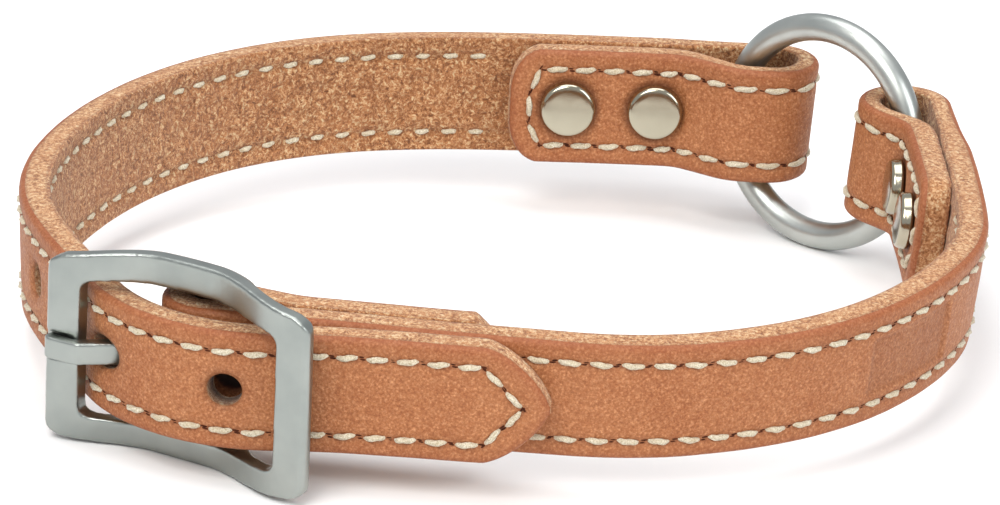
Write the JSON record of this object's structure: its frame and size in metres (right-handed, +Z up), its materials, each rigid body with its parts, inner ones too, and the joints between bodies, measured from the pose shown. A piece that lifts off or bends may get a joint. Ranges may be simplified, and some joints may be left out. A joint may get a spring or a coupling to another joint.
{
  "type": "leather ring collar",
  "caption": "Buckle collar of stitched harness leather: two riveted straps meet at an O-ring, and a pointed strap fastens through a centre-bar buckle.",
  "frame": {"origin": "centre of the footprint, on the surface that the fastened collar stands on", "axes": "+Z up; +X to the right, along the billet from the buckle to the tip; +Y from the buckle side to the back of the neck"},
  "size_m": [0.1526, 0.1438, 0.0389],
  "materials": {
    "leather": "natural vegetable-tanned harness leather, smooth grain outside, suede flesh side",
    "ring_metal": "satin nickel plate",
    "buckle_metal": "satin cast nickel",
    "bar_steel": "dull steel",
    "rivet_nickel": "polished nickel",
    "thread": "waxed cream thread"
  },
  "bodies": {
    "straps": {"tip_strap": "leather", "buckle_strap": "leather", "left_rivet_studs": "rivet_nickel", "left_rivet_caps": "rivet_nickel", "right_rivet_studs": "rivet_nickel", "right_rivet_caps": "rivet_nickel", "tip_stitches_grain": "thread", "tip_stitches_flesh": "thread", "buckle_stitches_grain": "thread", "buckle_stitches_flesh": "thread"},
    "ring": {"ring": "ring_metal"},
    "buckle": {"buckle_frame": "buckle_metal", "centre_bar": "bar_steel"},
    "tongue": {"tongue": "buckle_metal"}
  },
  "joints": [
    {"name": "ring_spin", "type": "hinge", "parent": "straps", "child": "ring", "pos_m": [0.05093, 0.05252, 0.01945], "axis": [-0.5959, -0.7994, 0.0764], "continuous": true},
    {"name": "buckle_rock", "type": "hinge", "parent": "straps", "child": "buckle", "pos_m": [-0.04434, -0.04952, 0.01588], "axis": [-0.0192, -0.0209, 0.9996], "range_deg": [-1, 1.5]},
    {"name": "tongue_lift", "type": "hinge", "parent": "buckle", "child": "tongue", "pos_m": [-0.04434, -0.04952, 0.01588], "axis": [-0.0192, -0.0209, 0.9996], "range_deg": [0, 2.5]}
  ]
}
